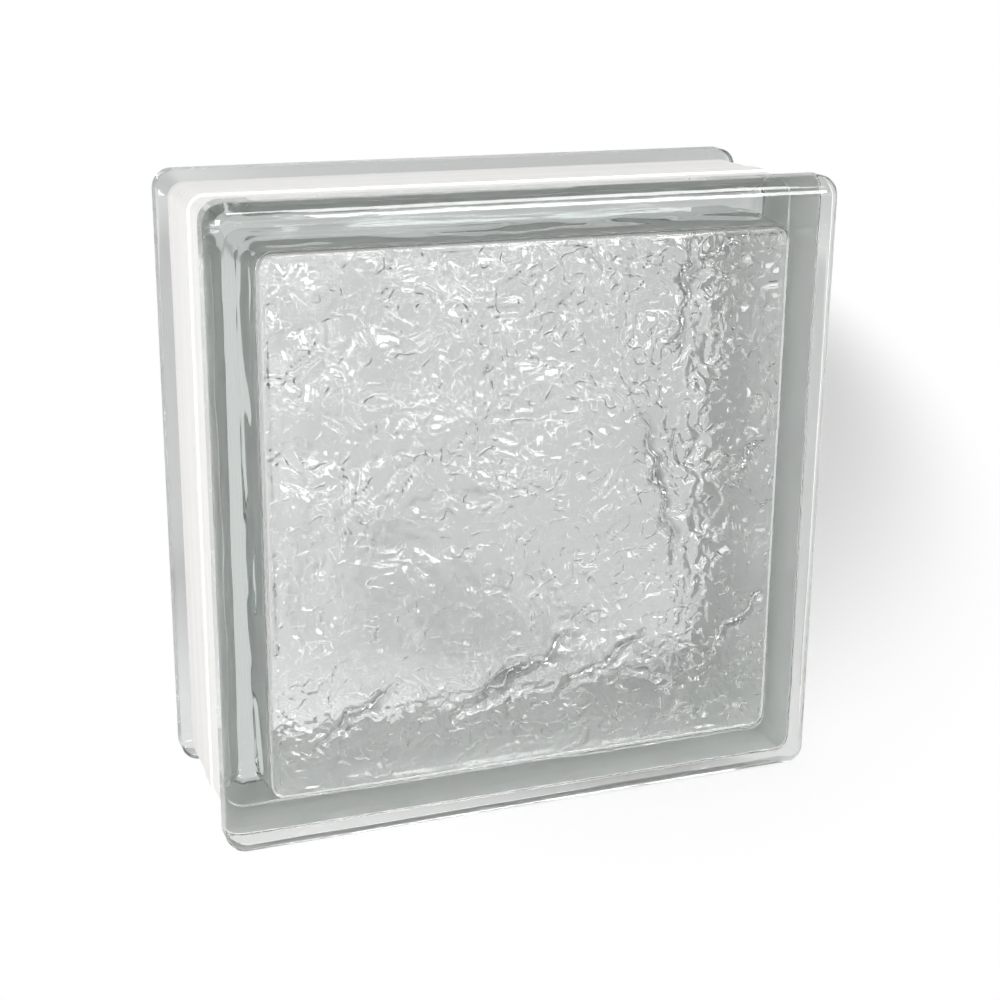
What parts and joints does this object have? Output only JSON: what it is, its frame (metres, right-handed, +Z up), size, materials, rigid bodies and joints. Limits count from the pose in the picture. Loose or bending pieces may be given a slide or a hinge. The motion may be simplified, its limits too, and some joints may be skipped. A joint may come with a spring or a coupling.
{
  "type": "glass block",
  "caption": "Square hollow glass block with an ice-textured inside, clear rims round both faces and white-coated sides set in to key mortar.",
  "frame": {"origin": "middle of the base, on the plane that the two bottom rims stand on", "axes": "+Z up, X across the face, the front face looks along -Y"},
  "size_m": [0.19, 0.08, 0.19],
  "materials": {
    "clear_glass": "clear, pressed, faint green tint",
    "white_coating": "matte, brushed-on coat"
  },
  "bodies": {
    "root": {"glass_body": "clear_glass", "edge_coating": "white_coating"}
  },
  "joints": []
}
